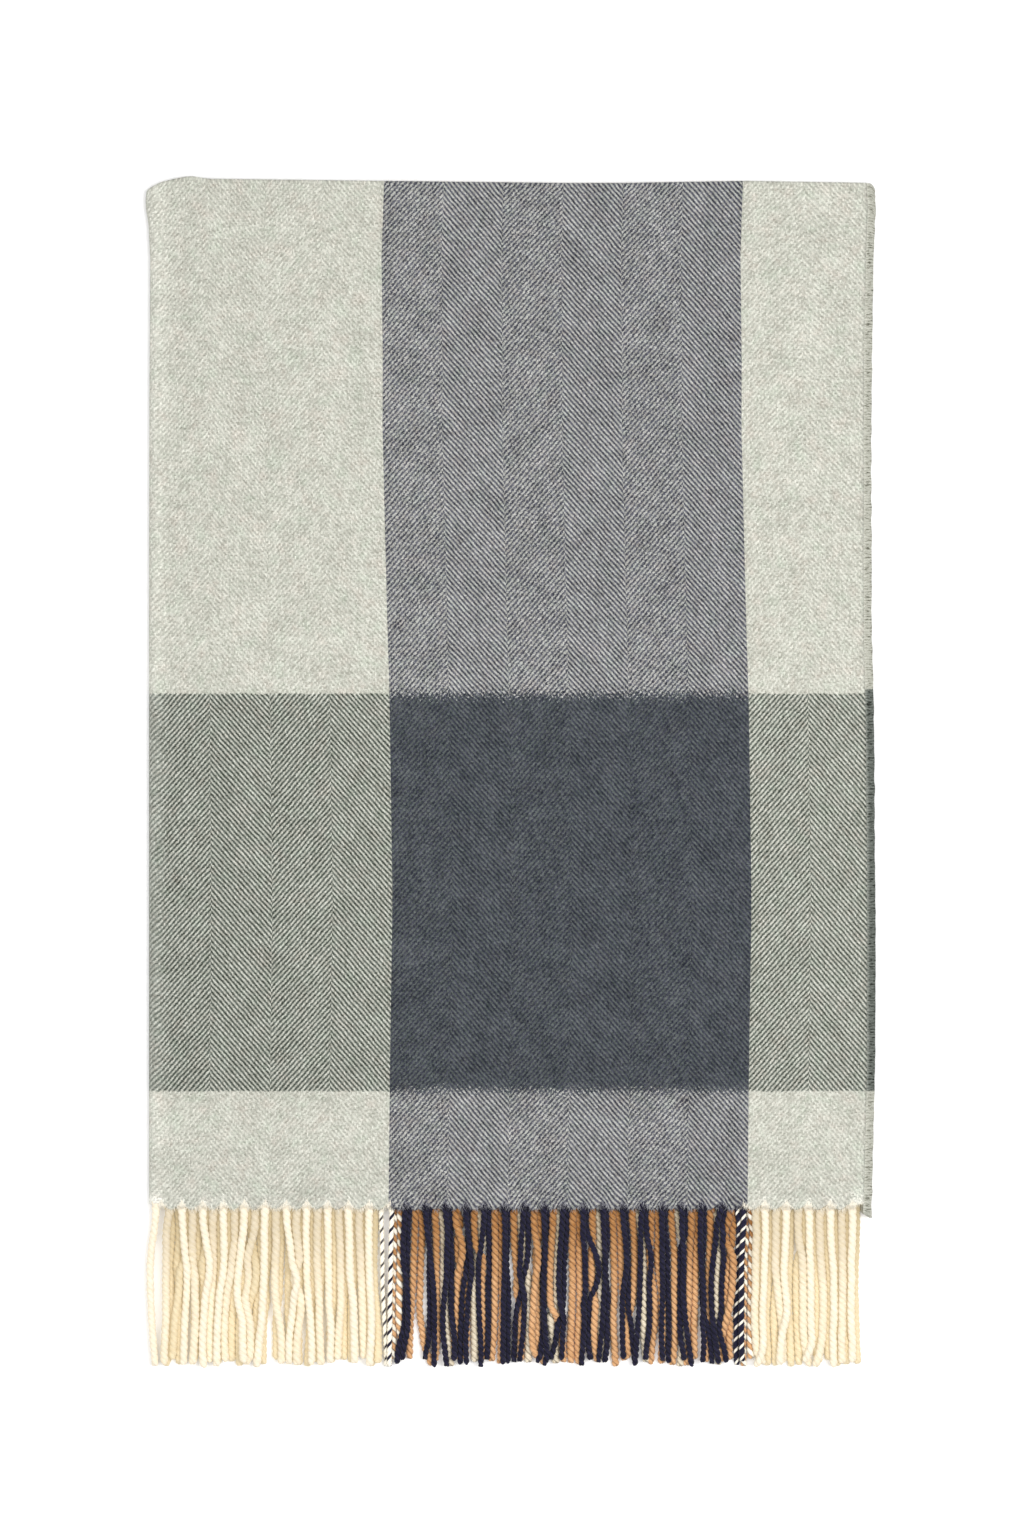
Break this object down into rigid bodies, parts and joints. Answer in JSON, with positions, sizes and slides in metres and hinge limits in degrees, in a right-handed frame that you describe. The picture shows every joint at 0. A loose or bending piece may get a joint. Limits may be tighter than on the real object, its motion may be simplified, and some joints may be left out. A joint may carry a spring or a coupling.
{
  "type": "folded throw blanket",
  "caption": "Herringbone throw folded in four and lying flat, with twisted tassels along both hems; unfolds once along its left edge.",
  "frame": {"origin": "middle of the underside of the folded throw, fringe included, on the surface it lies on", "axes": "+Z out of the visible face, +Y towards the cross fold away from the fringe, +X towards the open selvedges"},
  "size_m": [0.7004, 1.1439, 0.0137],
  "materials": {
    "face_cloth": "brushed herringbone twill in cream, grey, sage and slate blocks",
    "reverse_cloth": null,
    "weft_tape": "dense weft-faced edge",
    "cream_yarn": "soft two-ply twisted yarn",
    "navy_yarn": "soft two-ply twisted yarn",
    "caramel_yarn": "soft two-ply twisted yarn",
    "pale_yarn": "soft two-ply twisted yarn",
    "navy_marl_yarn": "soft two-ply twisted yarn",
    "caramel_marl_yarn": "soft two-ply twisted yarn"
  },
  "bodies": {
    "lower_half": {"back_caramel_tassels": "caramel_yarn", "back_cream_tassels_left": "cream_yarn", "back_cream_tassels_right": "cream_yarn", "back_leaf": "reverse_cloth", "back_marl_tassel_left": "caramel_marl_yarn", "back_marl_tassel_right": "caramel_marl_yarn", "back_pale_tassels": "pale_yarn", "back_selvedge": "weft_tape", "corner_fold": "reverse_cloth", "inner_left_fold": "reverse_cloth", "lower_top_fold": "reverse_cloth", "outer_left_fold": "reverse_cloth", "third_caramel_tassels": "caramel_yarn", "third_cream_tassels_left": "cream_yarn", "third_cream_tassels_right": "cream_yarn", "third_leaf": "reverse_cloth", "third_marl_tassel_left": "caramel_marl_yarn", "third_marl_tassel_right": "caramel_marl_yarn", "third_selvedge": "weft_tape"},
    "upper_half": {"front_cream_tassels_left": "cream_yarn", "front_cream_tassels_right": "cream_yarn", "front_leaf": "face_cloth", "front_marl_tassel_left": "navy_marl_yarn", "front_marl_tassel_right": "navy_marl_yarn", "front_navy_tassels": "navy_yarn", "front_selvedge": "weft_tape", "second_cream_tassels_left": "cream_yarn", "second_cream_tassels_right": "cream_yarn", "second_leaf": "face_cloth", "second_marl_tassel_left": "navy_marl_yarn", "second_marl_tassel_right": "navy_marl_yarn", "second_navy_tassels": "navy_yarn", "second_selvedge": "weft_tape", "upper_top_fold": "face_cloth"}
  },
  "joints": [
    {"name": "left_fold", "type": "hinge", "parent": "lower_half", "child": "upper_half", "pos_m": [-0.34335, 0, 0.00685], "axis": [0, -1, 0], "range_deg": [0, 180], "deforming": ["outer_left_fold", "inner_left_fold", "corner_fold"]}
  ]
}
